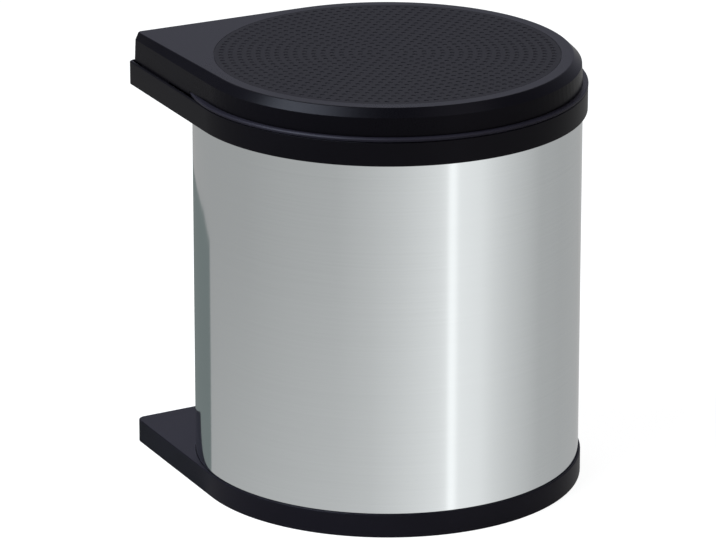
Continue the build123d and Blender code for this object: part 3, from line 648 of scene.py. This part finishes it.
def add_softbox(camera_azimuth, name, turn, elevation, distance, width, height, power, colour):
    """Area light that faces the bin from a direction counted to the camera's right."""
    light = bpy.data.lights.new(name, "AREA")
    light.shape = "RECTANGLE"
    light.size = width
    light.size_y = height
    light.energy = power
    light.color = colour
    lamp = bpy.data.objects.new(name, light)
    bpy.context.scene.collection.objects.link(lamp)
    a, e = camera_azimuth + radians(turn), radians(elevation)
    towards = Vector((sin(a) * cos(e), -cos(a) * cos(e), sin(e)))
    lamp.location = Vector((0, 0, LIT_HEIGHT)) + towards * distance
    lamp.rotation_mode = "QUATERNION"
    lamp.rotation_quaternion = (-towards).to_track_quat("-Z", "Y")
    lamp.visible_camera = False


# Tones of the studio by direction round the bin, in degrees to the camera's right. LOW is the
# sweep below the horizon, which the upright steel mirrors, with the bright strip of a window;
# FOOT is the steepest part of it, which the drum's foot mirrors; HIGH is what stands above the
# horizon, brightest behind the bin.
LOW = (
    (-180, 0.36), (-131, 0.36), (-91, 0.37), (-60, 0.41), (-30, 0.44), (-10, 0.52), (7, 0.60), (22, 0.70),
    (31, 0.77), (35, 0.84), (37.5, 1.08), (40, 1.08), (43, 0.88), (57, 0.82), (67, 0.70), (78, 0.60),
    (103, 0.43), (125, 0.40), (158, 0.41), (180, 0.52),
)
FOOT = (
    (-180, 0.40), (-131, 0.41), (-91, 0.46), (-60, 0.50), (-30, 0.54), (-10, 0.58), (7, 0.67), (22, 0.75),
    (31, 0.81), (35, 0.87), (37.5, 1.1), (40, 1.1), (43, 0.89), (57, 0.83), (67, 0.71), (78, 0.62),
    (103, 0.46), (125, 0.42), (158, 0.42), (180, 0.52),
)
HIGH = ((-180, 0.55), (-150, 0.25), (-100, 0.15), (0, 0.1), (100, 0.2), (150, 0.45), (180, 0.55))
NEUTRAL, COOL = (1.0, 1.0, 1.0), (0.96, 0.98, 1.2)


def studio_tone(finish, looks):
    """Grey tone of the studio by direction, for glossy rays."""
    place = finish.node("ShaderNodeTexCoord", {}, output=0)
    turned = finish.node("ShaderNodeMapping", {}, place, Rotation=(0, 0, -looks.azimuth))
    split = finish.tree.nodes.new("ShaderNodeSeparateXYZ")
    finish.fill(split.inputs[0], turned)
    across, away, up = (Value(finish, split.outputs[axis]) for axis in range(3))
    angle = finish.node("ShaderNodeMath", {"operation": "ARCTAN2"}, across, 0.0 - away)
    share = angle / (2 * pi) + 0.5
    low, foot, high = (
        finish.ramp(share, [(turn / 360 + 0.5, [tone * part for part in tint]) for turn, tone in tones])
        for tones, tint in ((LOW, NEUTRAL), (FOOT, NEUTRAL), (HIGH, COOL))
    )
    near = finish.blend(finish.ramp(up + 0.5, [(0.135, [1.0] * 3), (0.185, [0.0] * 3)]), low, foot)
    return finish.blend(finish.ramp(up + 0.5, [(0.44, [0.0] * 3), (0.6, [1.0] * 3)]), near, high)


# Outline of the dark card, a painted shade reflection for the drum: directions in degrees to the camera's
# right, and the share of the card's reach in each
SHADE_CARD_TURNS = (-131, -140, -150, -160, -170, -179)
SHADE_CARD_SHARES = (0.85, 0.95, 1.0, 1.05, 1.1, 1.2)
SHADE_CARD_TONE = (0.17, 0.196, 0.194)
FLOOR_HALF = 8.0
FLOOR_GLOW, FLOOR_GLOW_SHARE = 1.3, 0.7
WHITE = (1.0, 1.0, 1.0, 1.0)


class BIN_OT_stage(bpy.types.Operator):
    """Sets the pale floor, white surroundings, soft lights and the camera"""

    bl_idname = "waste_bin.stage"
    bl_label = "Stage"

    def execute(self, context):
        looks = context.scene.bin_stage
        self.make_world(looks)
        self.make_floor(looks)
        self.make_painted_shade_card(looks)
        for softbox in SOFTBOXES:
            add_softbox(looks.azimuth, *softbox)
        self.make_camera(looks)
        return {"FINISHED"}

    def make_world(self, looks):
        world = bpy.data.worlds.new("surroundings")
        bpy.context.scene.world = world
        finish = Finish(world)
        soft = finish.node("ShaderNodeBackground", {}, WHITE, looks.ambient)
        mirrored = finish.node("ShaderNodeBackground", {}, studio_tone(finish, looks), 1.0)
        seen = finish.node("ShaderNodeBackground", {}, WHITE, 1.0)
        unseen = finish.node("ShaderNodeMixShader", {}, finish.ray("Is Glossy Ray"), soft, mirrored)
        whole = finish.node("ShaderNodeMixShader", {}, finish.seen(), unseen, seen)
        finish.node("ShaderNodeOutputWorld", {}, whole)

    def make_floor(self, looks):
        shape = bmesh.new()
        bmesh.ops.create_grid(shape, x_segments=1, y_segments=1, size=FLOOR_HALF)
        floor = shape_object("floor", shape)
        material = bpy.data.materials.new("floor_paper")
        finish = Finish(material)
        paper = finish.node("ShaderNodeBsdfDiffuse", {}, rgba([looks.floor] * 3))
        bright = finish.node("ShaderNodeEmission", {}, WHITE, FLOOR_GLOW)
        seen = finish.node("ShaderNodeMixShader", {}, FLOOR_GLOW_SHARE, paper, bright)
        finish.surface(finish.node("ShaderNodeMixShader", {}, finish.seen(), paper, seen))
        floor.visible_glossy = False
        dress(floor, material)

    def make_painted_shade_card(self, looks):
        """Dark card on the floor behind the bin's left side, there for mirrored rays alone: painted shade, a
        dim glow that the drum mirrors as a dark reflection.
        """
        def way(turn):
            return Vector((sin(looks.azimuth + radians(turn)), -cos(looks.azimuth + radians(turn)), 0))

        near = [way(turn / 2) * DRUM_RADIUS for turn in SHADE_CARD_TURNS]
        far = [start + way(turn) * looks.shade_card_reach * share
               for start, turn, share in zip(near, SHADE_CARD_TURNS, SHADE_CARD_SHARES)]
        shape = bmesh.new()
        corners = [[shape.verts.new(point + Vector((0, 0, MM))) for point in row] for row in (near, far)]
        for place in range(len(near) - 1):
            shape.faces.new((
                corners[0][place], corners[0][place + 1], corners[1][place + 1], corners[1][place]))
        card = shape_object("painted_shade_card", shape)
        material = bpy.data.materials.new("painted_shade_card")
        finish = Finish(material)
        # Painted shade: a dim glow of this tone, seen only by mirrored rays.
        finish.surface(finish.node("ShaderNodeEmission", {}, rgba(SHADE_CARD_TONE), 1.0))
        dress(card, material)
        card.visible_camera = card.visible_diffuse = card.visible_shadow = False

    def make_camera(self, looks):
        camera = bpy.data.objects.new("camera", bpy.data.cameras.new("camera"))
        bpy.context.scene.collection.objects.link(camera)
        a, e = looks.azimuth, looks.elevation
        back = Vector((sin(a) * cos(e), -cos(a) * cos(e), sin(e)))
        right = Vector((cos(a), sin(a), 0))
        up = back.cross(right)
        target = Vector((0, 0, looks.target_height))
        camera.location = target + back * looks.distance
        aim = target - right * looks.aside - up * looks.below
        camera.rotation_mode = "QUATERNION"
        camera.rotation_quaternion = (aim - camera.location).to_track_quat("-Z", "Y")
        camera.data.sensor_width = 36.0
        camera.data.lens = looks.lens
        camera.data.clip_end = 40.0
        bpy.context.scene.camera = camera
        bpy.context.scene.view_settings.view_transform = "Standard"


class BIN_PT_panel(bpy.types.Panel):
    """Buttons for the pieces of the bin"""

    bl_label = "Waste Bin"
    bl_idname = "BIN_PT_panel"
    bl_space_type = "VIEW_3D"
    bl_region_type = "UI"
    bl_category = "Waste Bin"

    def draw(self, context):
        for operator in OPERATORS:
            self.layout.operator(operator.bl_idname)


GROUPS = {"bin_lid": LidLooks, "bin_drum": DrumLooks, "bin_stage": StageLooks}
OPERATORS = (BIN_OT_drum, BIN_OT_lid, BIN_OT_mouldings, BIN_OT_bucket, BIN_OT_fixings, BIN_OT_stage)
CLASSES = (*GROUPS.values(), *OPERATORS, BIN_PT_panel)


def register():
    for made in CLASSES:
        bpy.utils.register_class(made)
    for name, group in GROUPS.items():
        setattr(bpy.types.Scene, name, bpy.props.PointerProperty(type=group))


def unregister():
    for name in GROUPS:
        delattr(bpy.types.Scene, name)
    for made in reversed(CLASSES):
        bpy.utils.unregister_class(made)


def main():
    register()
    for operator in OPERATORS:
        family, name = operator.bl_idname.split(".")
        getattr(getattr(bpy.ops, family), name)()


if __name__ == "__main__":
    main()
